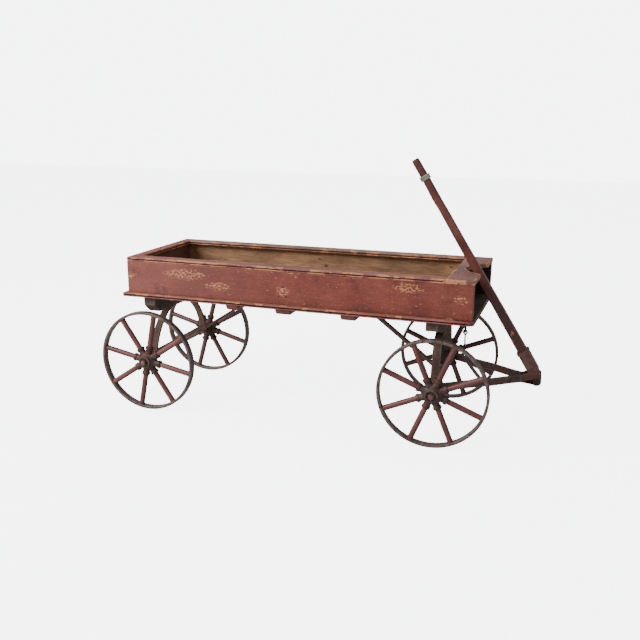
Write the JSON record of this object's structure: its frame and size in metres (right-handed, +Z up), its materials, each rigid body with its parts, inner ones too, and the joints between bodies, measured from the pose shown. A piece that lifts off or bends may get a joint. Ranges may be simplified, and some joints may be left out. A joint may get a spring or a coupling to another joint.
{
  "type": "pull wagon",
  "caption": "Antique wooden pull wagon: open box bed, spoked iron-tyred wheels, arched axle supports, steering front gear and a draw handle parked leaning back.",
  "frame": {"origin": "on the ground under the middle of the wagon's bounding box", "axes": "+X forward towards the draw handle, +Y to the wagon's left, +Z up"},
  "size_m": [1.2922, 0.4688, 0.7636],
  "materials": {
    "red_boards": "worn red paint on boards",
    "worn_rails": "worn red paint, bare on the edges",
    "front_cap": "faded paint, bare on the front edge",
    "bare_boards": "bare weathered wood",
    "dark_timber": "dark weathered hardwood",
    "handle_timber": "dark red varnished hardwood",
    "spoke_paint": "worn red paint",
    "old_iron": "brown rusted iron",
    "tyre_iron": "worn iron",
    "ferrule_iron": "dull worn iron"
  },
  "bodies": {
    "bed": {"side_board_left": "red_boards", "side_board_right": "red_boards", "rear_board": "red_boards", "front_board": "bare_boards", "side_rail_left": "worn_rails", "side_rail_right": "worn_rails", "rear_rail": "worn_rails", "front_cap": "front_cap", "floor_board_left": "bare_boards", "floor_board_centre": "bare_boards", "floor_board_right": "bare_boards", "cleat_1": "dark_timber", "cleat_2": "dark_timber", "cleat_3": "dark_timber", "rear_bolster": "dark_timber", "front_bolster": "dark_timber", "rear_arch": "dark_timber", "rear_axle_beam": "dark_timber", "rear_brace": "old_iron", "front_brace": "old_iron", "king_bolt": "old_iron", "king_nut": "old_iron", "hook_staple": "old_iron", "rear_left_spindle": "old_iron", "rear_left_nut": "old_iron", "rear_right_spindle": "old_iron", "rear_right_nut": "old_iron"},
    "front_gear": {"turn_plate": "old_iron", "front_arch": "dark_timber", "front_axle_beam": "dark_timber", "hound_left": "old_iron", "hound_right": "old_iron", "hound_brace": "old_iron", "pivot_bolt": "old_iron", "pivot_nut": "old_iron", "front_left_spindle": "old_iron", "front_left_nut": "old_iron", "front_right_spindle": "old_iron", "front_right_nut": "old_iron"},
    "handle": {"handle_bar": "handle_timber", "handle_ferrule": "ferrule_iron", "handle_socket": "old_iron"},
    "hook": {"hook": "old_iron"},
    "rear_left_wheel": {"rear_left_tyre": "tyre_iron", "rear_left_hub": "old_iron", "rear_left_spokes": "spoke_paint"},
    "rear_right_wheel": {"rear_right_tyre": "tyre_iron", "rear_right_hub": "old_iron", "rear_right_spokes": "spoke_paint"},
    "front_left_wheel": {"front_left_tyre": "tyre_iron", "front_left_hub": "old_iron", "front_left_spokes": "spoke_paint"},
    "front_right_wheel": {"front_right_tyre": "tyre_iron", "front_right_hub": "old_iron", "front_right_spokes": "spoke_paint"}
  },
  "joints": [
    {"name": "rear_left_spin", "type": "hinge", "parent": "bed", "child": "rear_left_wheel", "pos_m": [-0.49374, 0.2023, 0.1524], "axis": [0, 1, 0], "continuous": true},
    {"name": "rear_right_spin", "type": "hinge", "parent": "bed", "child": "rear_right_wheel", "pos_m": [-0.49374, -0.2023, 0.1524], "axis": [0, 1, 0], "continuous": true},
    {"name": "steer", "type": "hinge", "parent": "bed", "child": "front_gear", "pos_m": [0.36306, 0, 0.29], "axis": [0, 0, 1], "range_deg": [-18.6, 11.3]},
    {"name": "front_left_spin", "type": "hinge", "parent": "front_gear", "child": "front_left_wheel", "pos_m": [0.35025, 0.20189, 0.1524], "axis": [-0.0633, 0.998, 0], "continuous": true},
    {"name": "front_right_spin", "type": "hinge", "parent": "front_gear", "child": "front_right_wheel", "pos_m": [0.37587, -0.20189, 0.1524], "axis": [-0.0633, 0.998, 0], "continuous": true},
    {"name": "handle_swing", "type": "hinge", "parent": "front_gear", "child": "handle", "pos_m": [0.63192, 0.01706, 0.15], "axis": [-0.0633, 0.998, 0], "range_deg": [0, 127.8]},
    {"name": "hook_swing", "type": "hinge", "parent": "bed", "child": "hook", "pos_m": [0.44146, -0.102, 0.30536], "axis": [0, 1, 0], "range_deg": [-70, 20]}
  ]
}
